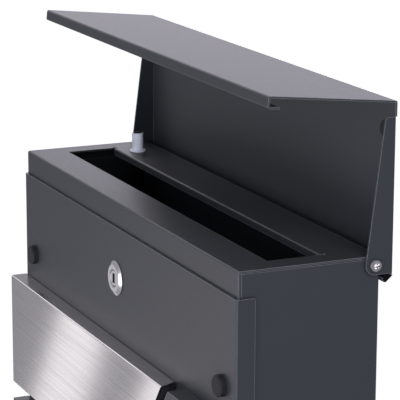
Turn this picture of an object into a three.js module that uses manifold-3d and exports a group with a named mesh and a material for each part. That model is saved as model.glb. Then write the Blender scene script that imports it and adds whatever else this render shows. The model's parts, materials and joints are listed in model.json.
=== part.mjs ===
// Wall-mounted top-loading letterbox in folded sheet metal: casing, hinged L-shaped lid with a
// soft-close damper, fold-down front door with a cam lock, rubber buffers and two raised front
// panels. Millimetres, X to the right, +Y towards the wall, +Z up. The origin is on the wall
// plane, at the centre of the four wall fixings. The lid stands open and the door is closed.
import * as THREE from "three";
import { mergeVertices } from "three/addons/utils/BufferGeometryUtils.js";
import Module from "manifold-3d";

const wasm = await Module();
wasm.setup();

// ---- Driving dimensions ----
const casing = {
  width: 370, depth: 95, height: 370, wallGap: 14, sheet: 1.2, bend: 0.1, returnWidth: 12,
};
const slot = { length: 339, front: 26.4, rear: 62.4, lip: 5, lipRoot: 7, relief: 1.5, reliefInset: 0.8 };
const fascia = { height: 17, strikeDepth: 9.2, strikeDrop: 13, strikeHalf: 170 };
const lid = {
  sheet: 1.2, bend: 0.1, cheekGap: 1.2, pivotInset: 4.5, pivotDrop: 5.2, outerOffset: 12.8,
  foldHeight: 100.7, flapLength: 86.2, flapRise: 6, lip: 7.6, lipReturn: 8,
};
const cheek = { foot: -6.1, head: 91, footRadius: 6.2, headInset: 6.6, headRadius: 2, backRadius: 2.2 };
const hook = { out: 6.1, drop: 12.6, endOut: 5.2, endDrop: 8.6, capGap: 0.2, cap: 0.8, capInset: 0.9 };
const lidPad = { x: 176.2, rise: 81.7, radius: 5.2, height: 1.6, seatGap: 0.1, edge: 0.4 };
const door = {
  sheet: 1.2, bend: 0.1, front: 1.8, top: 16.9, overhang: 1.7, flange: 12.5, corner: 1.2,
  foot: 1, ear: 6, pivotInset: 8, pivotRise: 6,
};
const panel = {
  depth: 12.4, top: 95, height: 84.5, right: 101, slant: 36, gap: 10.8, lowerGap: 12.8, sheet: 1, bend: 0.1,
};
const coverSheet = 1.2;
const endStrip = { inset: 1, thickness: 4 };
const lock = { x: -4.5, drop: 52, bezelR: 12, faceR: 9.6, bezelHeight: 2.4, barrelR: 8, coreR: 5.5 };
const keyway = { halfWidth: 2, halfHeight: 3.3, depth: 6, shutterInset: 1.4 };
const cam = { thickness: 2, hubR: 8, tipR: 4.5, reach: 27 };
const buffer = { x: 167, drop: 75.5, radius: 7, height: 4.3 };
const bufferStem = { radius: 2, barb: 3, tip: 1.2, length: 5, edge: 1, seatGap: 0.1 };
const panelScrew = { shank: 1.5, head: 3.5, crown: 2.6, headSide: 1, headHeight: 2, into: 5, seatGap: 0.2,
  cross: 2, crossHalf: 0.5, recess: 1.2 };
const bossBore = 1.8;
const damper = {
  x: -151, front: 74.5, pistonR: 4.2, stand: 14.2, flangeR: 5.9, flangeHeight: 1.3, barrelR: 5,
  length: 39, nut: 14, nutHeight: 3, tipR: 3.4, tipHeight: 0.5,
};
const spacer = { x: 135, z: 120, radius: 11, bore: 4.4 };
const fit = 0.3; // clearance between touching pieces
const boltR = 1.5; // M3 shank
const facetsFor = (radius) => (radius < 3 ? 14 : 24);

// ---- Planes derived from them ----
const halfWidth = casing.width / 2;
const rear = -casing.wallGap;
const front = rear - casing.depth;
const top = casing.height / 2;
const bottom = -casing.height / 2;
const sideInner = halfWidth - casing.sheet;
const sideFront = front + casing.sheet + fit;
const doorFront = front - door.front;
const doorInner = doorFront + door.sheet;
const panelFront = doorFront - panel.depth;
const panelBack = doorFront - fit;
const lidPivot = { y: rear - lid.pivotInset, z: top - lid.pivotDrop };
const doorPivot = { y: doorInner + door.pivotInset, z: bottom + door.pivotRise };
const lidInner = halfWidth + lid.cheekGap;
const lidOuter = lidInner + lid.sheet;
const doorOuter = halfWidth + door.overhang;
const lockZ = top - lock.drop;
const bufferPlaces = [-1, 1].map((s) => [s * buffer.x, top - buffer.drop]);
const damperY = front + damper.front;

// ---- Materials ----
const coat = new THREE.MeshStandardMaterial({ color: 0x3f4247, roughness: 0.45, metalness: 0.3 });
const stainless = new THREE.MeshStandardMaterial({ color: 0xb9babd, roughness: 0.3, metalness: 1 });
const chrome = new THREE.MeshStandardMaterial({ color: 0xd4d6d8, roughness: 0.08, metalness: 1 });
const zinc = new THREE.MeshStandardMaterial({ color: 0xc2c4c6, roughness: 0.28, metalness: 1 });
const rubber = new THREE.MeshStandardMaterial({ color: 0x1d1e20, roughness: 0.75, metalness: 0 });
const greyPlastic = new THREE.MeshStandardMaterial({ color: 0x9a9ea6, roughness: 0.4, metalness: 0 });
const blackPlastic = new THREE.MeshStandardMaterial({ color: 0x141517, roughness: 0.5, metalness: 0 });

// ---- Outlines ----
const point = (x, y) => new THREE.Vector2(x, y);

// Points of an arc, ends included, with angles in degrees.
function arc(cx, cy, radius, from, to, steps) {
  return Array.from({ length: steps + 1 }, (_, i) => {
    const angle = THREE.MathUtils.degToRad(from + ((to - from) * i) / steps);
    return point(cx + radius * Math.cos(angle), cy + radius * Math.sin(angle));
  });
}

// A path moved sideways to its left by a distance, with mitred corners.
function offsetPath(points, distance, closed = false) {
  const count = points.length;
  return points.map((here, i) => {
    const before = points[closed ? (i + count - 1) % count : Math.max(i - 1, 0)];
    const after = points[closed ? (i + 1) % count : Math.min(i + 1, count - 1)];
    const into = here.clone().sub(before).normalize();
    const out = after.clone().sub(here).normalize();
    if (into.lengthSq() === 0) into.copy(out);
    if (out.lengthSq() === 0) out.copy(into);
    const normal = point(-into.y - out.y, into.x + out.x).normalize();
    return here.clone().addScaledVector(normal, distance / (normal.y * into.x - normal.x * into.y));
  });
}

// A path whose inner corners are replaced by arcs of the given radii.
function filletPath(points, radii, steps = 3) {
  const result = [points[0]];
  for (let i = 1; i < points.length - 1; i++) {
    const back = points[i - 1].clone().sub(points[i]).normalize();
    const ahead = points[i + 1].clone().sub(points[i]).normalize();
    const half = Math.acos(THREE.MathUtils.clamp(back.dot(ahead), -1, 1)) / 2;
    const reach = radii[i] / Math.tan(half);
    const bisector = back.clone().add(ahead).normalize();
    const centre = bisector.multiplyScalar(radii[i] / Math.sin(half)).add(points[i]);
    const start = points[i].clone().addScaledVector(back, reach).sub(centre);
    const end = points[i].clone().addScaledVector(ahead, reach).sub(centre);
    const turn = start.cross(end) > 0 ? 1 : -1;
    const sweep = turn * Math.acos(THREE.MathUtils.clamp(start.dot(end) / start.lengthSq(), -1, 1));
    for (let k = 0; k <= steps; k++) {
      const step = start.clone().rotateAround(point(0, 0), (sweep * k) / steps);
      result.push(step.add(centre));
    }
  }
  result.push(points.at(-1));
  return result;
}

// Closed outline of a folded sheet: its outer face follows the points, the metal is to their left.
function foldedSheet(points, thickness, insideRadius) {
  const turns = points.map((here, i) => {
    if (i === 0 || i === points.length - 1) return 0;
    return here.clone().sub(points[i - 1]).cross(points[i + 1].clone().sub(here));
  });
  const outerRadii = turns.map((turn) => (turn > 0 ? insideRadius + thickness : insideRadius));
  const innerRadii = turns.map((turn) => (turn > 0 ? insideRadius : insideRadius + thickness));
  const outer = filletPath(points, outerRadii);
  const inner = filletPath(offsetPath(points, thickness), innerRadii);
  return [...outer, ...inner.reverse()];
}

// ---- Solids ----
function toSolid(geometry) {
  const bare = geometry.index ? geometry.toNonIndexed() : geometry.clone();
  bare.deleteAttribute("normal");
  bare.deleteAttribute("uv");
  const merged = mergeVertices(bare, 1e-4);
  const mesh = new wasm.Mesh({
    numProp: 3,
    vertProperties: merged.attributes.position.array,
    triVerts: new Uint32Array(merged.index.array),
  });
  return new wasm.Manifold(mesh);
}

function toGeometry(solid) {
  const mesh = solid.getMesh();
  const geometry = new THREE.BufferGeometry();
  geometry.setAttribute("position", new THREE.BufferAttribute(mesh.vertProperties, 3));
  geometry.setIndex(new THREE.BufferAttribute(mesh.triVerts, 1));
  geometry.computeVertexNormals();
  return geometry;
}

function extrude(points, depth) {
  return new THREE.ExtrudeGeometry(new THREE.Shape(points), { depth, bevelEnabled: false });
}

// An outline in (y, z) run along X, in (x, z) run along Y, or in (x, y) run along Z.
function alongX(points, x0, x1) {
  const turn = new THREE.Matrix4().set(0, 0, 1, x0, 1, 0, 0, 0, 0, 1, 0, 0, 0, 0, 0, 1);
  return toSolid(extrude(points, x1 - x0).applyMatrix4(turn));
}

function alongY(points, y0, y1) {
  const turn = new THREE.Matrix4().set(1, 0, 0, 0, 0, 0, -1, y1, 0, 1, 0, 0, 0, 0, 0, 1);
  return toSolid(extrude(points, y1 - y0).applyMatrix4(turn));
}

function alongZ(points, z0, z1) {
  return toSolid(extrude(points, z1 - z0).translate(0, 0, z0));
}

function box(x0, x1, y0, y1, z0, z1) {
  const geometry = new THREE.BoxGeometry(x1 - x0, y1 - y0, z1 - z0);
  return toSolid(geometry.translate((x0 + x1) / 2, (y0 + y1) / 2, (z0 + z1) / 2));
}

// A turned piece: [radius, height] pairs from low to high, on an axis through the given place.
function turned(profile, axis, place, facets = 24) {
  const geometry = new THREE.LatheGeometry(profile.map(([r, h]) => point(r, h)), facets);
  if (axis === "x") geometry.rotateZ(-Math.PI / 2);
  if (axis === "-x") geometry.rotateZ(Math.PI / 2);
  if (axis === "-y") geometry.rotateX(Math.PI);
  if (axis === "z") geometry.rotateX(Math.PI / 2);
  return toSolid(geometry.translate(...place));
}

function rod(radius, from, to, axis, place, facets = facetsFor(radius)) {
  return turned([[0, from], [radius, from], [radius, to], [0, to]], axis, place, facets);
}

// A flat ring between two radii, open along its axis.
function ring(outerR, innerR, from, to, axis, place, facets = 24) {
  const profile = [[innerR, from], [outerR, from], [outerR, to], [innerR, to], [innerR, from]];
  return turned(profile, axis, place, facets);
}

function hexNut(acrossFlats, from, to, axis, place, flatAngle = 0) {
  const corner = acrossFlats / Math.sqrt(3);
  const solid = rod(corner, from, to, axis, [0, 0, 0], 6);
  const spin = axis === "z" ? [0, 0, flatAngle] : axis === "x" ? [flatAngle, 0, 0] : [0, flatAngle, 0];
  const bore = rod(boltR + fit, from - 1, to + 1, axis, [0, 0, 0]);
  return solid.rotate(spin).subtract(bore).translate(place);
}

const join = (...solids) => solids.reduce((a, b) => a.add(b));
const cut = (body, ...tools) => tools.reduce((a, b) => a.subtract(b), body);

// ---- The assembly ----
const letterbox = new THREE.Group();

function addPiece(name, material, solid) {
  const mesh = new THREE.Mesh(toGeometry(solid), material);
  mesh.name = name;
  letterbox.add(mesh);
}

const sides = [["left", -1], ["right", 1]];

// Casing shell: one sheet folded into both sides, the back and two narrow front returns.
function casingShell() {
  const sheetLine = [
    point(casing.returnWidth - halfWidth, sideFront),
    point(-halfWidth, sideFront),
    point(-halfWidth, rear),
    point(halfWidth, rear),
    point(halfWidth, sideFront),
    point(halfWidth - casing.returnWidth, sideFront),
  ].reverse();
  const shellTop = top - casing.sheet - 2 * fit;
  const shell = alongZ(foldedSheet(sheetLine, casing.sheet, casing.bend), bottom, shellTop);
  const across = [[lidPivot.y, lidPivot.z], [doorPivot.y, doorPivot.z]].map(([y, z]) =>
    rod(boltR + fit, -halfWidth - 5, halfWidth + 5, "x", [0, y, z]),
  );
  const wallHoles = [-1, 1].flatMap((sx) =>
    [-1, 1].map((sz) => rod(spacer.bore, rear - 5, rear + 5, "y", [sx * spacer.x, 0, sz * spacer.z])),
  );
  const chamfer = [
    point(sideFront - 1, bottom - 1),
    point(doorPivot.y - 2, bottom - 1),
    point(doorPivot.y - 2, bottom),
    point(sideFront, doorPivot.z - 1),
    point(sideFront - 1, doorPivot.z - 1),
  ];
  return cut(shell, ...across, ...wallHoles, alongX(chamfer, -halfWidth - 2, halfWidth + 2));
}

// Top plate: mail slot with its rear edge folded down, front fascia and the strike behind the door.
function topPlate() {
  const fasciaEnd = top - fascia.height;
  const main = foldedSheet(
    [point(rear, top), point(front, top), point(front, fasciaEnd)],
    casing.sheet, casing.bend,
  );
  const strikeY = front + fascia.strikeDepth;
  const strike = foldedSheet(
    [
      point(front, fasciaEnd + 6), point(front, fasciaEnd),
      point(strikeY, fasciaEnd), point(strikeY, fasciaEnd - fascia.strikeDrop),
    ],
    casing.sheet, casing.bend,
  );
  const slotFront = front + slot.front;
  const slotRear = front + slot.rear;
  const halfSlot = slot.length / 2;
  const lipStrip = foldedSheet(
    [point(slotRear + slot.lipRoot, top), point(slotRear, top), point(slotRear, top - slot.lip)],
    casing.sheet, casing.bend,
  );
  const cutRear = slotRear + slot.lipRoot / 2;
  const mailSlot = box(-halfSlot, halfSlot, slotFront, cutRear, top - 3, top + 3);
  const reliefs = sides.map(([, s]) =>
    rod(slot.relief, top - 3, top + 3, "z", [s * halfSlot, slotRear + slot.reliefInset, 0], 12),
  );
  const sideFlange = { from: front + 9, to: rear - 16, drop: 10 };
  const flanges = sides.map(([, s]) => {
    const xs = [s * (sideInner - fit), s * (sideInner - fit - casing.sheet)].sort((a, b) => a - b);
    return box(xs[0], xs[1], sideFlange.from, sideFlange.to, top - sideFlange.drop, top - casing.sheet / 2);
  });
  const plate = join(
    alongX(main, -halfWidth, halfWidth),
    alongX(strike, -fascia.strikeHalf, fascia.strikeHalf),
    ...flanges,
  );
  const damperHole = rod(damper.barrelR + fit, top - 3, top + 3, "z", [damper.x, damperY, 0]);
  const opened = cut(plate, mailSlot, ...reliefs, damperHole);
  return join(opened, alongX(lipStrip, slot.relief - halfSlot, halfSlot - slot.relief));
}

// Bottom panel: a tray with turned-up edges and drain holes.
function bottomPanel() {
  const clear = 1.5 * fit; // clears the inside of the shell's bends
  const reach = sideInner - clear;
  const back = rear - casing.sheet - clear;
  const fore = doorPivot.y - 1.5;
  const rim = bottom + 12;
  const tray = join(
    box(-reach, reach, fore, back, bottom, bottom + casing.sheet),
    box(-reach, reach, back - casing.sheet, back, bottom, rim),
    box(-reach, casing.sheet - reach, fore + 14, back, bottom, rim),
    box(reach - casing.sheet, reach, fore + 14, back, bottom, rim),
  );
  const drains = [-120, -40, 40, 120].map((x) =>
    rod(3, bottom - 1, bottom + 3, "z", [x, (fore + back) / 2, 0], 16),
  );
  return cut(tray, ...drains);
}

// Lid: panel, front flap with a turned-in lip, two cheeks for the pivots and a hooked rear edge.
function lidShell() {
  const rise = THREE.MathUtils.degToRad(lid.flapRise);
  const along = point(-Math.cos(rise), Math.sin(rise));
  const down = point(-Math.sin(rise), -Math.cos(rise));
  const at = (y, z) => point(lidPivot.y + y, lidPivot.z + z);
  const fold = at(lid.outerOffset, lid.foldHeight);
  const flapEnd = fold.clone().addScaledVector(along, lid.flapLength);
  const lipEnd = flapEnd.clone().addScaledVector(down, lid.lip);
  const returnEnd = lipEnd.clone().addScaledVector(along, -lid.lipReturn);
  const skin = [
    at(hook.endOut, -hook.endDrop), at(hook.out, -hook.drop), at(lid.outerOffset, cheek.foot),
    fold, flapEnd, lipEnd, returnEnd,
  ];
  const headCentre = at(cheek.headInset + 0.4, cheek.head - cheek.headRadius);
  const footCentre = at(0, cheek.foot + cheek.footRadius);
  const outline = [
    at(lid.outerOffset, cheek.foot),
    at(lid.outerOffset, cheek.head),
    at(cheek.headInset, cheek.head),
    ...arc(headCentre.x, headCentre.y, cheek.headRadius, 105, 172, 3).slice(1),
    ...arc(footCentre.x, footCentre.y, cheek.footRadius, 172, 270, 8),
  ];
  const shell = join(
    alongX(foldedSheet(skin, lid.sheet, lid.bend), -lidOuter, lidOuter),
    alongX(outline, lidInner, lidOuter),
    alongX(outline, -lidOuter, -lidInner),
  );
  const pivotHole = rod(boltR + fit, -lidOuter - 2, lidOuter + 2, "x", [0, lidPivot.y, lidPivot.z]);
  return cut(shell, pivotHole, ...sides.map(([, s]) => backRounding(s)));
}

// What the bend between cheek and lid panel leaves out at the lid's rear corner.
function backRounding(side) {
  const radius = cheek.backRadius;
  const corner = point(side * lidOuter, lidPivot.y + lid.outerOffset);
  const centre = corner.clone().sub(point(side * radius, radius));
  const bend = arc(centre.x, centre.y, radius, side > 0 ? 0 : 90, side > 0 ? 90 : 180, 5);
  const beyond = [
    point(corner.x + (side > 0 ? 0 : -1), corner.y + 1),
    point(corner.x + (side > 0 ? 1 : 0), corner.y + 1),
  ];
  const outline = side > 0
    ? [...bend, point(centre.x, corner.y + 1), beyond[1], point(corner.x + 1, centre.y)]
    : [...bend, point(corner.x - 1, centre.y), beyond[0], point(centre.x, corner.y + 1)];
  return alongZ(outline, lidPivot.z - hook.drop - 1, lidPivot.z + cheek.head);
}

// Black caps over the open ends of the lid's hooked edge, kept just inside its outline.
function hookCaps() {
  const at = (y, z) => point(lidPivot.y + y, lidPivot.z + z);
  const inset = hook.capInset;
  const outline = [
    at(hook.endOut + inset / 2, cheek.foot - inset), at(hook.endOut + inset / 2, -hook.endDrop),
    at(hook.out, 2 * inset - hook.drop), at(hook.out + inset, 1.5 * inset - hook.drop),
    at(lid.outerOffset - inset, cheek.foot - inset),
  ];
  for (const [side, s] of sides) {
    const near = s * (lidOuter + hook.capGap);
    const far = s * (lidOuter + hook.capGap + hook.cap);
    addPiece(`hook_cap_${side}`, blackPlastic, alongX(outline, Math.min(near, far), Math.max(near, far)));
  }
}

// Flat rubber stops inside the lid, which come down near the top plate when the lid is shut.
function lidPads() {
  const seat = lidPivot.y + lid.outerOffset - lid.sheet - lidPad.seatGap;
  const face = seat - lidPad.height;
  const profile = [
    [0, face], [lidPad.radius - lidPad.edge, face], [lidPad.radius, face + lidPad.edge],
    [lidPad.radius, seat], [0, seat],
  ];
  for (const [side, s] of sides) {
    addPiece(`lid_pad_${side}`, rubber, turned(profile, "y", [s * lidPad.x, 0, lidPivot.z + lidPad.rise]));
  }
}

// Door skin with both side flanges, ears for its pivots, and holes for what it carries.
function doorPanel() {
  const flangeBack = doorFront + door.flange;
  const doorTop = top - door.top;
  const foot = bottom + door.foot;
  const sheetLine = [
    point(-doorOuter, flangeBack),
    point(-doorOuter, doorFront),
    point(doorOuter, doorFront),
    point(doorOuter, flangeBack),
  ];
  const skin = alongZ(foldedSheet(sheetLine, door.sheet, door.bend), foot, doorTop);
  const corner = door.corner;
  const rounding = [
    point(flangeBack + 1, doorTop + 1),
    point(flangeBack - corner, doorTop + 1),
    ...arc(flangeBack - corner, doorTop - corner, corner, 90, 0, 5),
    point(flangeBack + 1, doorTop - corner),
  ];
  const rounded = cut(skin, alongX(rounding, -doorOuter - 1, doorOuter + 1));
  const ears = sides.map(([, s]) => {
    const xs = [s * doorOuter, s * (doorOuter - door.sheet)].sort((a, b) => a - b);
    return rod(door.ear, xs[0], xs[1], "x", [0, doorPivot.y + 1, doorPivot.z + 1]);
  });
  const holes = [
    rod(boltR + fit, -doorOuter - 2, doorOuter + 2, "x", [0, doorPivot.y, doorPivot.z]),
    rod(lock.barrelR + fit, doorFront - 2, doorInner + 2, "y", [lock.x, 0, lockZ]),
    ...[...bufferPlaces, ...stainlessFixings, ...coverFixings].map(([x, z]) =>
      rod(2.3, doorFront - 2, doorInner + 2, "y", [x, 0, z]),
    ),
  ];
  return cut(join(rounded, ...ears), ...holes);
}

// Raised front panels: folded trays with welded bosses, screwed on from inside the door.
const slantRun = Math.tan(THREE.MathUtils.degToRad(panel.slant));
const panelTop = top - panel.top;
const panelBottom = panelTop - panel.height;
const slantAt = (z) => panel.right - (panelTop - z) * slantRun;
const stainlessFixings = [[-160, panelTop - 20], [-40, panelTop - 65], [60, panelTop - 20]];
const coverFixings = [
  [155, panelTop - 20], [155, bottom + 30], [0, bottom + 80], [-155, bottom + 30],
];

function bosses(places, sheet) {
  return places.map(([x, z]) => {
    const post = rod(4, panelFront + sheet / 2, panelBack, "y", [x, 0, z]);
    return post.subtract(rod(bossBore, panelFront + 4, panelBack + 1, "y", [x, 0, z]));
  });
}

function stainlessPanel() {
  const channel = foldedSheet(
    [
      point(panelBack, panelTop), point(panelFront, panelTop),
      point(panelFront, panelBottom), point(panelBack, panelBottom),
    ],
    panel.sheet, panel.bend,
  );
  const slantedEnd = [
    point(panel.right, panelTop + 1),
    point(panel.right, panelTop),
    point(slantAt(panelBottom), panelBottom),
    point(slantAt(panelBottom), panelBottom - 1),
    point(panel.right + 20, panelBottom - 1),
    point(panel.right + 20, panelTop + 1),
  ];
  const taper = [
    point(panel.right, panelFront),
    point(panel.right + 2, panelFront),
    point(panel.right + 2, panelBack + 1),
    point(panel.right - 6, panelBack + 1),
  ];
  const blank = alongX(channel, -doorOuter, panel.right + 10);
  const end = alongY(slantedEnd, panelFront - 1, panelBack + 1);
  const trimmed = cut(blank, end, alongZ(taper, panelTop - 3, panelTop + 1));
  return join(trimmed, ...bosses(stainlessFixings, panel.sheet));
}

// Black strip that closes the slanted open end of the stainless panel.
function panelEndStrip() {
  const high = panelTop - panel.sheet - panel.bend - fit;
  const low = panelBottom + panel.sheet + panel.bend + fit;
  const outline = [high, low].map((z) => point(slantAt(z) - endStrip.inset, z));
  const inner = outline.map((corner) => point(corner.x - endStrip.thickness, corner.y)).reverse();
  return alongY([...outline, ...inner].reverse(), panelFront + panel.sheet + fit, panelBack - fit);
}

function frontCover() {
  const lowerTop = panelBottom - panel.lowerGap;
  const foot = bottom + door.foot;
  const outline = [
    point(slantAt(panelTop) + panel.gap, panelTop),
    point(slantAt(lowerTop) + panel.gap, lowerTop),
    point(-doorOuter, lowerTop),
    point(-doorOuter, foot),
    point(doorOuter, foot),
    point(doorOuter, panelTop),
  ];
  const hollow = alongY(offsetPath(outline, coverSheet, true), panelFront + coverSheet, panelBack + 1);
  const tray = alongY(outline, panelFront, panelBack).subtract(hollow);
  return join(tray, ...bosses(coverFixings, coverSheet));
}

// Screw with a domed cross-recess head. It lies along the given axis, the head's seat at the place.
function panHeadScrew(length, headR, headHeight, axis, place) {
  const recess = { length: headR * 1.1, width: 1, depth: headHeight * 0.55 };
  const body = turned(
    [
      [0, -length], [boltR, -length], [boltR, 0], [headR, 0], [headR, headHeight * 0.45],
      [headR * 0.86, headHeight * 0.8], [headR * 0.55, headHeight], [0, headHeight],
    ],
    axis, [0, 0, 0], 20,
  );
  const outward = axis.startsWith("-") ? -1 : 1;
  const ends = [headHeight - recess.depth, headHeight + 1].map((height) => height * outward);
  const [from, to] = ends.sort((a, b) => a - b);
  const [a, b] = [recess.length / 2, recess.width / 2];
  const cross = axis.endsWith("x")
    ? [box(from, to, -a, a, -b, b), box(from, to, -b, b, -a, a)]
    : [box(-a, a, from, to, -b, b), box(-b, b, from, to, -a, a)];
  return cut(body, ...cross).translate(place);
}

function pivotHardware() {
  const shank = 11;
  const screwHead = { radius: 3.9, height: 2.6 };
  const nut = { across: 5.5, height: 2.4 };
  for (const [side, s] of sides) {
    const axis = s > 0 ? "x" : "-x";
    const pivots = [["lid", lidPivot, lidOuter], ["door", doorPivot, doorOuter]];
    for (const [owner, pivot, outer] of pivots) {
      const seat = [s * (outer + fit), pivot.y, pivot.z];
      const screw = panHeadScrew(shank, screwHead.radius, screwHead.height, axis, seat);
      addPiece(`${owner}_pivot_screw_${side}`, zinc, screw);
      const outerFace = sideInner - 2 * fit;
      const solid = hexNut(nut.across, outerFace - nut.height, outerFace, axis, [0, pivot.y, pivot.z]);
      addPiece(`${owner}_pivot_nut_${side}`, zinc, solid);
    }
    const bushGap = 0.2;
    const bush = ring(
      4.6, boltR + fit, halfWidth + bushGap, lidInner - bushGap, axis, [0, lidPivot.y, lidPivot.z],
    );
    addPiece(`lid_pivot_bush_${side}`, blackPlastic, bush);
  }
}

// Soft-close damper: flanged neck through the top plate, barrel below, nut, piston with a pad.
function softCloseDamper() {
  const place = [damper.x, damperY, 0];
  const seat = top + fit;
  const flangeTop = seat + damper.flangeHeight;
  const boreR = damper.pistonR + fit;
  const nutTop = top - casing.sheet - fit;
  const neckEnd = nutTop - damper.nutHeight;
  const neck = turned(
    [
      [boreR, neckEnd], [damper.barrelR, neckEnd], [damper.barrelR, seat], [damper.flangeR, seat],
      [damper.flangeR, flangeTop - 0.4], [damper.flangeR - 0.4, flangeTop], [boreR, flangeTop],
      [boreR, neckEnd],
    ],
    "z", place,
  );
  addPiece("damper_neck", greyPlastic, neck);
  const foot = top - damper.length;
  const barrelTop = neckEnd - fit;
  const barrel = turned(
    [
      [0, foot], [damper.barrelR, foot], [damper.barrelR, barrelTop], [boreR, barrelTop],
      [boreR, foot + 3], [0, foot + 3],
    ],
    "z", place,
  );
  addPiece("damper_barrel", blackPlastic, barrel);
  const nut = hexNut(damper.nut, neckEnd, nutTop, "z", place);
  const clear = rod(damper.barrelR + fit, top - 8, top, "z", place);
  addPiece("damper_nut", blackPlastic, nut.subtract(clear));
  const crown = top + damper.stand;
  const pistonFoot = top - 22;
  const piston = turned(
    [
      [0, pistonFoot], [damper.pistonR, pistonFoot], [damper.pistonR, crown - 0.3],
      [damper.pistonR - 0.3, crown], [0, crown],
    ],
    "z", place,
  );
  addPiece("damper_piston", greyPlastic, piston);
  const pad = rod(damper.tipR, crown + 0.1, crown + 0.1 + damper.tipHeight, "z", place);
  addPiece("damper_pad", blackPlastic, pad);
}

// Cam lock: bezel and barrel through the door, nut behind, core with key slot, cam and its screw.
function camLock() {
  const place = [lock.x, 0, lockZ];
  const boreR = lock.coreR + fit;
  const face = doorFront - lock.bezelHeight;
  const seat = doorFront - 0.1;
  const tail = front + fascia.strikeDepth + casing.sheet;
  const housing = turned(
    [
      [boreR, face + 0.6], [boreR + 0.7, face], [lock.faceR - 0.3, face], [lock.faceR, face + 0.3],
      [lock.bezelR, seat - 0.7], [lock.bezelR, seat], [lock.barrelR, seat], [lock.barrelR, tail],
      [boreR, tail], [boreR, face + 0.6],
    ],
    "y", place, 36,
  );
  addPiece("lock_housing", chrome, housing);
  const nutFrom = doorInner + 0.2;
  const nut = hexNut(20, nutFrom, nutFrom + 3, "y", place);
  addPiece("lock_nut", zinc, nut.subtract(rod(lock.barrelR + fit, nutFrom - 1, nutFrom + 4, "y", place)));
  const camFrom = tail + fit;
  const camTo = camFrom + cam.thickness;
  const spindle = { radius: 3.5, end: camTo + 0.4 };
  const core = turned(
    [
      [0, face + 0.35], [lock.coreR - 0.4, face + 0.35], [lock.coreR, face + 0.75],
      [lock.coreR, camFrom - 0.2], [spindle.radius, camFrom - 0.2], [spindle.radius, spindle.end],
      [0, spindle.end],
    ],
    "y", place,
  );
  const keyBox = (margin, from, to) => box(
    lock.x - keyway.halfWidth + margin, lock.x + keyway.halfWidth - margin, from, to,
    lockZ - keyway.halfHeight + margin, lockZ + keyway.halfHeight - margin,
  );
  const screwHole = rod(boltR + fit, spindle.end - 8, spindle.end + 1, "y", place);
  addPiece("lock_core", chrome, cut(core, keyBox(0, face - 1, face + keyway.depth), screwHole));
  const shutterFrom = face + keyway.shutterInset;
  addPiece("lock_shutter", blackPlastic, keyBox(0.15, shutterFrom, shutterFrom + 2));
  const camOutline = [
    ...arc(lock.x, lockZ, cam.hubR, 90, 270, 10),
    ...arc(lock.x + cam.reach - cam.tipR, lockZ, cam.tipR, -90, 90, 8),
  ];
  const camHole = rod(spindle.radius + fit, camFrom - 1, camTo + 1, "y", place);
  addPiece("lock_cam", zinc, alongY(camOutline, camFrom, camTo).subtract(camHole));
  addPiece("cam_screw", zinc, panHeadScrew(6, 4.6, 2, "y", [lock.x, spindle.end + fit, lockZ]));
}

// Rubber buffers pushed through the door skin, where the closed lid's lip comes to rest.
function rubberBuffers() {
  for (const [i, [side]] of sides.entries()) {
    const [x, z] = bufferPlaces[i];
    const seat = doorFront - bufferStem.seatGap;
    const face = seat - buffer.height;
    const catchAt = doorInner + 2 * bufferStem.seatGap;
    const end = doorInner + bufferStem.length;
    const solid = turned(
      [
        [0, face], [buffer.radius - bufferStem.edge, face], [buffer.radius, face + bufferStem.edge],
        [buffer.radius, seat], [bufferStem.radius, seat], [bufferStem.radius, catchAt],
        [bufferStem.barb, catchAt], [bufferStem.tip, end], [0, end],
      ],
      "y", [x, 0, z],
    );
    addPiece(`buffer_${side}`, rubber, solid);
  }
}

// Screws driven from inside the door into the panels' bosses, with a cross recess in the head.
function panelScrews() {
  const { shank, head, crown, cross, crossHalf } = panelScrew;
  const tip = panelFront + panelScrew.into;
  const seat = doorInner + panelScrew.seatGap;
  const back = seat + panelScrew.headHeight;
  const floor = back - panelScrew.recess;
  const profile = [
    [0, tip], [shank, tip], [shank, seat], [head, seat],
    [head, seat + panelScrew.headSide], [crown, back], [0, back],
  ];
  const screw = ([x, z]) => cut(
    turned(profile, "y", [x, 0, z], 14),
    box(x - cross, x + cross, floor, back + 1, z - crossHalf, z + crossHalf),
    box(x - crossHalf, x + crossHalf, floor, back + 1, z - cross, z + cross),
  );
  stainlessFixings.forEach((place, i) => addPiece(`stainless_screw_${i + 1}`, zinc, screw(place)));
  coverFixings.forEach((place, i) => addPiece(`cover_screw_${i + 1}`, zinc, screw(place)));
}

function wallSpacers() {
  const rows = [["top", 1], ["bottom", -1]];
  for (const [row, sz] of rows) {
    for (const [side, sx] of sides) {
      const place = [sx * spacer.x, 0, sz * spacer.z];
      const washer = ring(spacer.radius, spacer.bore, rear + fit, 0, "y", place);
      addPiece(`wall_spacer_${row}_${side}`, rubber, washer);
    }
  }
}

addPiece("casing_shell", coat, casingShell());
addPiece("top_plate", coat, topPlate());
addPiece("bottom_panel", coat, bottomPanel());
wallSpacers();
addPiece("lid_shell", coat, lidShell());
hookCaps();
lidPads();
addPiece("door_panel", coat, doorPanel());
addPiece("stainless_panel", stainless, stainlessPanel());
addPiece("panel_end_strip", rubber, panelEndStrip());
addPiece("front_cover", coat, frontCover());
panelScrews();
rubberBuffers();
camLock();
softCloseDamper();
pivotHardware();

export default letterbox;
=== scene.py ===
import json
import math

import bpy
from mathutils import Matrix, Vector


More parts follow.
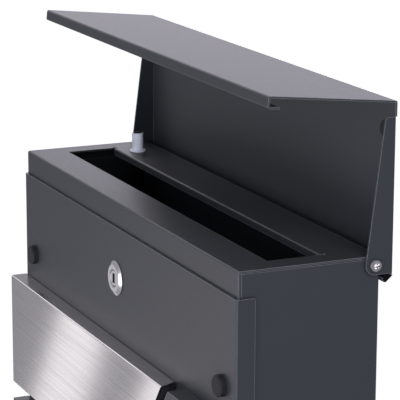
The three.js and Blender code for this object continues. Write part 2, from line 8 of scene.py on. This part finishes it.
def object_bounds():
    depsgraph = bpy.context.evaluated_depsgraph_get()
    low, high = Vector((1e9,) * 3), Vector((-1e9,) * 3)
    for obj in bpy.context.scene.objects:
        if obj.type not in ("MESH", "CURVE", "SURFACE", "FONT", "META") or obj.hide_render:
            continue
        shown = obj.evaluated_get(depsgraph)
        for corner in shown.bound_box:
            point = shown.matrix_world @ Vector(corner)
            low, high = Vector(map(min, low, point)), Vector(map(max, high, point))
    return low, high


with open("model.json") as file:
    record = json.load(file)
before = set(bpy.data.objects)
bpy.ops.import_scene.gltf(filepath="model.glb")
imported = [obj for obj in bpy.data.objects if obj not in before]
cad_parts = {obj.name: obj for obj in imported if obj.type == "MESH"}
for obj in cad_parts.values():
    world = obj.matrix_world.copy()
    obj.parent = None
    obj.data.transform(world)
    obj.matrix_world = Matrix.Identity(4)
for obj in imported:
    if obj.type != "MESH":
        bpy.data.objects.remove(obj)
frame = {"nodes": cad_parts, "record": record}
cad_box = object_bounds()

nodes = frame["nodes"]
scene = bpy.context.scene
scene.view_settings.view_transform = "Standard"

MM = 0.001

# ---- Driving values ----
# The camera comes from a least-squares fit of the object's edges in the photograph.
camera_place = Vector((1.26598, -0.61804, 0.51517))
camera_azimuth = 65.875
camera_elevation = 13.489
camera_roll = 0.19
camera_lens = 189.0
sensor_width = 36.0
camera_reach = 50.0
floor_drop = 0.02
floor_half = 60.0
surround_strength = 0.33
lit_point = Vector((0.0, -0.08, 0.12))
studio_tint = (1.0, 0.945, 1.0)
steel_tint = (1.0, 0.97, 0.965)
world_tint = (0.965, 0.94, 1.02)
cool_tint = (0.87, 0.95, 1.08)
warm_tint = (1.04, 0.945, 0.98)
back_tint = (1.0, 0.955, 1.09)
right_tint = (1.02, 0.95, 0.98)
damper_tint = (0.93, 0.96, 1.1)

edge_round = {"sheet": 0.14 * MM, "turned": 0.18 * MM, "small": 0.08 * MM}
smooth_below = math.radians(38)
round_above = math.radians(50)
flat_within = math.radians(0.6)
weld_within = 0.002 * MM
normal_weight = 60

coat_colour = (0.0345, 0.0405, 0.0475)
coat_light = (0.0395, 0.0460, 0.0535)
# Painted highlight: the powder coat's colour is made far lighter in thin lines along its folds and edges.
painted_edge_highlight_colour = (0.42, 0.43, 0.47)
edge_highlight_radius = 0.5 * MM
edge_samples = 6
flat_agreement = 0.99
sharp_agreement = 0.8
steel_colour = (0.66, 0.645, 0.65)
steel_light = (0.84, 0.83, 0.835)
chrome_colour = (0.83, 0.83, 0.85)
chrome_light = (0.9, 0.9, 0.92)
zinc_colour = (0.60, 0.60, 0.62)
zinc_light = (0.72, 0.72, 0.73)
rubber_colour = (0.012, 0.012, 0.013)
rubber_lift = 2.2
grey_colour = (0.74, 0.76, 0.82)
black_colour = (0.006, 0.006, 0.007)
plastic_lift = 1.18
plastic_haze = 0.1
paper_colour = (0.84, 0.84, 0.84)
paper_light = (0.88, 0.88, 0.88)
paper_glow = (1.0, 1.0, 1.0, 1.0)
paper_glow_strength = 0.75


# ---- Edges and shading of the carried-over parts ----
def clean_group():
    """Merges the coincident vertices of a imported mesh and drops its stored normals."""
    group = bpy.data.node_groups.new("clean_mesh", "GeometryNodeTree")
    group.interface.new_socket("Geometry", in_out="INPUT", socket_type="NodeSocketGeometry")
    group.interface.new_socket("Geometry", in_out="OUTPUT", socket_type="NodeSocketGeometry")
    start = group.nodes.new("NodeGroupInput")
    end = group.nodes.new("NodeGroupOutput")
    merge = group.nodes.new("GeometryNodeMergeByDistance")
    merge.inputs["Distance"].default_value = weld_within
    normals = group.nodes.new("GeometryNodeSetMeshNormal")
    normals.inputs["Remove Custom"].default_value = True
    normals.inputs["Edge Sharpness"].default_value = False
    normals.inputs["Face Sharpness"].default_value = False
    group.links.new(start.outputs[0], merge.inputs["Geometry"])
    group.links.new(merge.outputs["Geometry"], normals.inputs["Mesh"])
    group.links.new(normals.outputs["Mesh"], end.inputs[0])
    return group


def shade_group():
    """Smooth shading, with an edge kept sharp where the surface turns by more than the limit."""
    group = bpy.data.node_groups.new("shade_by_angle", "GeometryNodeTree")
    group.interface.new_socket("Geometry", in_out="INPUT", socket_type="NodeSocketGeometry")
    group.interface.new_socket("Geometry", in_out="OUTPUT", socket_type="NodeSocketGeometry")
    start = group.nodes.new("NodeGroupInput")
    end = group.nodes.new("NodeGroupOutput")
    angle = group.nodes.new("GeometryNodeInputMeshEdgeAngle")
    wide = group.nodes.new("FunctionNodeCompare")
    wide.data_type = "FLOAT"
    wide.operation = "GREATER_THAN"
    wide.inputs["B"].default_value = smooth_below
    normals = group.nodes.new("GeometryNodeSetMeshNormal")
    normals.inputs["Remove Custom"].default_value = True
    normals.inputs["Face Sharpness"].default_value = False
    group.links.new(angle.outputs["Unsigned Angle"], wide.inputs["A"])
    group.links.new(wide.outputs["Result"], normals.inputs["Edge Sharpness"])
    group.links.new(start.outputs[0], normals.inputs["Mesh"])
    group.links.new(normals.outputs["Mesh"], end.inputs[0])
    return group


clean_mesh = clean_group()
shade_by_angle = shade_group()


def soften(piece, width, segments=2):
    """Rounds a part's sharp edges with modifiers, and leaves its own mesh as it is."""
    clean = piece.modifiers.new("clean", "NODES")
    clean.node_group = clean_mesh
    flat = piece.modifiers.new("flat_faces", "DECIMATE")
    flat.decimate_type = "DISSOLVE"
    flat.angle_limit = flat_within
    bevel = piece.modifiers.new("edges", "BEVEL")
    bevel.width = width
    bevel.segments = segments
    bevel.limit_method = "ANGLE"
    bevel.angle_limit = round_above
    bevel.use_clamp_overlap = True
    bevel.miter_outer = "MITER_ARC"
    shade = piece.modifiers.new("shade", "NODES")
    shade.node_group = shade_by_angle
    weight = piece.modifiers.new("weighted_normals", "WEIGHTED_NORMAL")
    weight.keep_sharp = True
    weight.weight = normal_weight


# ---- Material helpers ----
class Finish:
    """A Principled material with its nodes, made step by step."""

    def __init__(self, name, **sockets):
        self.material = bpy.data.materials.new(name)
        self.material.use_nodes = True
        tree = self.material.node_tree
        self.nodes = tree.nodes
        self.links = tree.links
        self.shader = self.nodes["Principled BSDF"]
        for socket, value in sockets.items():
            self.shader.inputs[socket.replace("_", " ")].default_value = value
        self.place = self.nodes.new("ShaderNodeTexCoord").outputs["Object"]

    def stretched(self, scale):
        mapping = self.nodes.new("ShaderNodeMapping")
        mapping.inputs["Scale"].default_value = scale
        self.links.new(self.place, mapping.inputs["Vector"])
        return mapping.outputs["Vector"]

    def noise(self, scale, detail=2.0, place=None):
        noise = self.nodes.new("ShaderNodeTexNoise")
        noise.inputs["Scale"].default_value = scale
        noise.inputs["Detail"].default_value = detail
        self.links.new(place or self.place, noise.inputs["Vector"])
        return noise.outputs["Fac"]

    def spread(self, value, low, high, from_low=0.3, from_high=0.7):
        ranged = self.nodes.new("ShaderNodeMapRange")
        ranged.inputs["From Min"].default_value = from_low
        ranged.inputs["From Max"].default_value = from_high
        ranged.inputs["To Min"].default_value = low
        ranged.inputs["To Max"].default_value = high
        self.links.new(value, ranged.inputs["Value"])
        return ranged.outputs["Result"]

    def edges(self, radius):
        """0 on flat sheet and 1 where the surface turns within the radius."""
        rounded = self.nodes.new("ShaderNodeBevel")
        rounded.samples = edge_samples
        rounded.inputs["Radius"].default_value = radius
        geometry = self.nodes.new("ShaderNodeNewGeometry")
        agreement = self.nodes.new("ShaderNodeVectorMath")
        agreement.operation = "DOT_PRODUCT"
        self.links.new(rounded.outputs["Normal"], agreement.inputs[0])
        self.links.new(geometry.outputs["True Normal"], agreement.inputs[1])
        return self.spread(agreement.outputs["Value"], 1.0, 0.0, sharp_agreement, flat_agreement)

    def blend(self, factor, first, second):
        mix = self.nodes.new("ShaderNodeMix")
        mix.data_type = "RGBA"
        self.links.new(factor, mix.inputs["Factor"])
        for socket, value in (("A", first), ("B", second)):
            target = [s for s in mix.inputs if s.name == socket and s.type == "RGBA"][0]
            if isinstance(value, tuple):
                target.default_value = (*value, 1.0)
            else:
                self.links.new(value, target)
        return [s for s in mix.outputs if s.type == "RGBA"][0]

    def feed(self, socket, value):
        self.links.new(value, self.shader.inputs[socket])

    def bump(self, height, strength, distance, after=None):
        bump = self.nodes.new("ShaderNodeBump")
        bump.inputs["Strength"].default_value = strength
        bump.inputs["Distance"].default_value = distance
        self.links.new(height, bump.inputs["Height"])
        if after is not None:
            self.links.new(after, bump.inputs["Normal"])
        return bump.outputs["Normal"]


# ---- Materials, one for each slot of the record ----
def powder_coat():
    finish = Finish("powder_coat_finish", IOR=1.5, Specular_IOR_Level=0.5)
    cloud = finish.noise(60.0, detail=3.0)
    grain = finish.noise(1500.0, detail=2.0)
    tone = finish.blend(finish.spread(cloud, 0.4, 0.6), coat_colour, coat_light)
    speck = finish.blend(finish.spread(grain, 0.0, 0.35), tone, coat_light)
    # Painted highlight: the base colour turns much lighter where the surface turns at folds and edges.
    painted_edge_highlight = finish.edges(edge_highlight_radius)
    finish.feed("Base Color", finish.blend(painted_edge_highlight, speck, painted_edge_highlight_colour))
    finish.feed("Roughness", finish.spread(finish.noise(700.0, detail=2.0), 0.41, 0.46))
    orange_peel = finish.bump(finish.noise(520.0, detail=1.0), 0.12, 0.02 * MM)
    texture = finish.bump(grain, 0.25, 0.012 * MM, after=orange_peel)
    finish.feed("Normal", texture)
    return finish.material


def brushed_stainless():
    finish = Finish("brushed_stainless_finish", Metallic=1.0, Anisotropic=0.8)
    fine = finish.noise(1.0, detail=3.0, place=finish.stretched((9.0, 2600.0, 2600.0)))
    coarse = finish.noise(1.0, detail=2.0, place=finish.stretched((6.0, 1000.0, 1000.0)))
    lines = finish.blend(finish.spread(fine, 0.0, 1.0), steel_colour, steel_light)
    tone = finish.blend(finish.spread(coarse, 0.0, 0.5), lines, steel_colour)
    finish.feed("Base Color", tone)
    finish.feed("Roughness", finish.spread(coarse, 0.13, 0.19))
    tangent = finish.nodes.new("ShaderNodeTangent")
    tangent.direction_type = "RADIAL"
    tangent.axis = "X"
    finish.feed("Tangent", tangent.outputs["Tangent"])
    finish.feed("Normal", finish.bump(fine, 0.04, 0.01 * MM))
    return finish.material


def chrome():
    finish = Finish("chrome_finish", Metallic=1.0)
    haze = finish.noise(260.0, detail=3.0)
    finish.feed("Base Color", finish.blend(finish.spread(haze, 0.0, 1.0), chrome_colour, chrome_light))
    finish.feed("Roughness", finish.spread(haze, 0.20, 0.26))
    finish.feed("Normal", finish.bump(finish.noise(900.0), 0.05, 0.01 * MM))
    return finish.material


def zinc_steel():
    finish = Finish("zinc_finish", Metallic=1.0)
    spangle = finish.noise(700.0, detail=3.0)
    finish.feed("Base Color", finish.blend(finish.spread(spangle, 0.0, 1.0), zinc_colour, zinc_light))
    finish.feed("Roughness", finish.spread(spangle, 0.22, 0.34))
    finish.feed("Normal", finish.bump(finish.noise(2500.0), 0.1, 0.01 * MM))
    return finish.material


def rubber(name, colour):
    finish = Finish(name, Specular_IOR_Level=0.4)
    dust = finish.noise(320.0, detail=4.0)
    dusty = tuple(rubber_lift * c for c in colour)
    finish.feed("Base Color", finish.blend(finish.spread(dust, 0.0, 1.0), colour, dusty))
    finish.feed("Roughness", finish.spread(dust, 0.62, 0.78))
    finish.feed("Normal", finish.bump(finish.noise(2200.0, detail=3.0), 0.3, 0.02 * MM))
    return finish.material


def plastic(name, colour, roughness, shine=0.3):
    finish = Finish(name, IOR=1.49, Specular_IOR_Level=shine)
    cloud = finish.noise(180.0, detail=3.0)
    light = tuple(min(1.0, plastic_lift * c) for c in colour)
    finish.feed("Base Color", finish.blend(finish.spread(cloud, 0.0, 1.0), colour, light))
    finish.feed("Roughness", finish.spread(cloud, roughness, roughness + plastic_haze))
    finish.feed("Normal", finish.bump(finish.noise(3200.0, detail=2.0), 0.15, 0.01 * MM))
    return finish.material


finishes = {
    "powder_coat": powder_coat(),
    "brushed_stainless": brushed_stainless(),
    "chrome": chrome(),
    "zinc_steel": zinc_steel(),
    "buffer_rubber": rubber("buffer_rubber_finish", rubber_colour),
    "spacer_rubber": rubber("spacer_rubber_finish", rubber_colour),
    "grey_plastic": plastic("grey_plastic_finish", grey_colour, 0.36),
    "black_plastic": plastic("black_plastic_finish", black_colour, 0.6, shine=0.04),
}


def edge_width(slot):
    if slot in ("powder_coat", "brushed_stainless"):
        return edge_round["sheet"]
    if slot in ("chrome", "grey_plastic", "buffer_rubber", "spacer_rubber"):
        return edge_round["turned"]
    return edge_round["small"]


pieces_of = {slot: [] for slot in finishes}
for part in frame["record"]["subparts"]:
    piece = nodes[part["node"]]
    slot = part["material_slot"]
    pieces_of[slot].append(piece)
    for material_slot in piece.material_slots:
        material_slot.material = finishes[slot]
    soften(piece, edge_width(slot))


# ---- Studio ----
def pale_floor(z, half):
    mesh = bpy.data.meshes.new("studio_floor")
    corners = [(-half, -half, z), (half, -half, z), (half, half, z), (-half, half, z)]
    mesh.from_pydata(corners, [], [(0, 1, 2, 3)])
    floor = bpy.data.objects.new("studio_floor", mesh)
    scene.collection.objects.link(floor)
    finish = Finish("studio_floor_finish", Roughness=0.6, Emission_Strength=paper_glow_strength)
    paper = finish.noise(6.0, detail=3.0)
    finish.feed("Base Color", finish.blend(finish.spread(paper, 0.0, 1.0), paper_colour, paper_light))
    finish.shader.inputs["Emission Color"].default_value = paper_glow
    mesh.materials.append(finish.material)
    floor.visible_glossy = False
    floor.visible_diffuse = False
    floor.visible_shadow = False


painted_pieces = [
    piece for slot, pieces in pieces_of.items() for piece in pieces
    if slot not in ("brushed_stainless", "chrome", "zinc_steel")
]
steel_pieces = pieces_of["brushed_stainless"]
bright_pieces = pieces_of["chrome"] + pieces_of["zinc_steel"]


def lamp(name, place, toward, radiance, width, height, tint, receivers, lean=0.0):
    """A flat rectangular light that reaches only the given parts and isn't seen itself."""
    light = bpy.data.lights.new(name, "AREA")
    light.shape = "RECTANGLE"
    light.size = width
    light.size_y = height
    light.energy = radiance * math.pi * width * height
    light.color = tint
    source = bpy.data.objects.new(name, light)
    facing = (toward - place).to_track_quat("-Z", "Y").to_matrix().to_4x4()
    source.matrix_world = Matrix.Translation(place) @ facing @ Matrix.Rotation(lean, 4, "Z")
    source.visible_camera = False
    scene.collection.objects.link(source)
    reached = bpy.data.collections.new(name + "_reach")
    for piece in receivers:
        reached.objects.link(piece)
    source.light_linking.receiver_collection = reached


def softbox(name, azimuth, elevation, radiance, distance=2.2, size=1.15, tint=studio_tint, receivers=None):
    """A square light round the object: azimuth 0 is in front of it, 90 on its right."""
    around, above = math.radians(azimuth), math.radians(elevation)
    away = Vector((
        math.sin(around) * math.cos(above),
        -math.cos(around) * math.cos(above),
        math.sin(above),
    ))
    reached = painted_pieces if receivers is None else receivers
    lamp(name, lit_point + distance * away, lit_point, radiance, size, size, tint, reached)


world = bpy.data.worlds.new("studio")
world.use_nodes = True
world.node_tree.nodes["Background"].inputs["Color"].default_value = (*world_tint, 1.0)
world.node_tree.nodes["Background"].inputs["Strength"].default_value = surround_strength
scene.world = world

pale_floor(cad_box[0].z - floor_drop, floor_half)

# A least-squares comparison with the photograph picked where these seven softboxes stand, from a
# grid of angles. It also gave the surround's strength, the back left tint and the softboxes'
# first strengths, most of which were then changed.
softbox("back_left_softbox", 240, 10, 1.65, tint=back_tint)
softbox("left_high_softbox", 270, 40, 1.8)
softbox("right_high_softbox", 90, 40, 3.3, tint=right_tint)
softbox("front_right_softbox", 30, 10, 2.1, tint=cool_tint)
softbox("right_low_softbox", 60, -20, 2.8, tint=cool_tint)
softbox("left_low_softbox", 330, -20, 0.3, tint=warm_tint)
softbox("under_front_softbox", 0, -50, 1.8, tint=warm_tint)

# Lights the front most along its left side. Its place began near one that the comparison picked.
gradient_place = Vector((-0.26, -0.42, 0.0))
gradient_size = 0.25
lamp(
    "front_gradient_lamp", gradient_place, lit_point, 0.92,
    gradient_size, gradient_size, warm_tint, painted_pieces,
)

# Two narrow lights make the bright bands across the stainless panel's brushing, and a softbox
# lights its fold. The others reach only the chromed and zinc-plated pieces, or only the grey ones.
steel_point = Vector((-0.05, -0.123, 0.08))
band_place = Vector((-0.512, -0.295, -0.09))
end_place = Vector((-0.305, -0.295, -0.09))
strip = {"height": 0.42, "tint": steel_tint, "receivers": steel_pieces, "lean": math.radians(-18)}
lamp("steel_band_lamp", band_place, steel_point, 0.84, width=0.048, **strip)
lamp("steel_end_lamp", end_place, steel_point, 0.85, width=0.05, **strip)
softbox("steel_fold_softbox", 287, 24, 1.0, distance=1.2, size=0.5, receivers=steel_pieces)
softbox("lock_front_softbox", 350, -10, 1.6, size=1.3, receivers=bright_pieces)
softbox("lock_left_softbox", 292, -15, 0.22, size=1.0, receivers=bright_pieces)
softbox("screw_right_softbox", 112, -12, 3.0, size=0.8, receivers=bright_pieces)
softbox("damper_softbox", 60, 12, 3.7, tint=damper_tint, receivers=pieces_of["grey_plastic"])

# Small bright lights that show as thin lines along the folds and edges of the painted sheet.
edge_box_size = 0.5
softbox("upright_edges_softbox", 22, -15, 4.5, size=edge_box_size)
softbox("front_edges_softbox", 287, 21, 2.2, size=edge_box_size)
softbox("side_edges_softbox", 143, 63, 1.6, size=edge_box_size)


# ---- Camera at the photograph's viewing angle ----
def make_camera():
    azimuth, elevation, roll = (math.radians(a) for a in (camera_azimuth, camera_elevation, camera_roll))
    ahead = Vector((
        -math.sin(azimuth) * math.cos(elevation),
        math.cos(azimuth) * math.cos(elevation),
        -math.sin(elevation),
    ))
    level = Vector((math.cos(azimuth), math.sin(azimuth), 0.0))
    upright = level.cross(ahead)
    right = level * math.cos(roll) + upright * math.sin(roll)
    up = upright * math.cos(roll) - level * math.sin(roll)
    turn = Matrix((right, up, -ahead)).transposed().to_4x4()
    data = bpy.data.cameras.new("camera")
    data.sensor_width = sensor_width
    data.lens = camera_lens
    data.clip_end = camera_reach
    camera = bpy.data.objects.new("camera", data)
    camera.matrix_world = Matrix.Translation(camera_place) @ turn
    scene.collection.objects.link(camera)
    scene.camera = camera


make_camera()
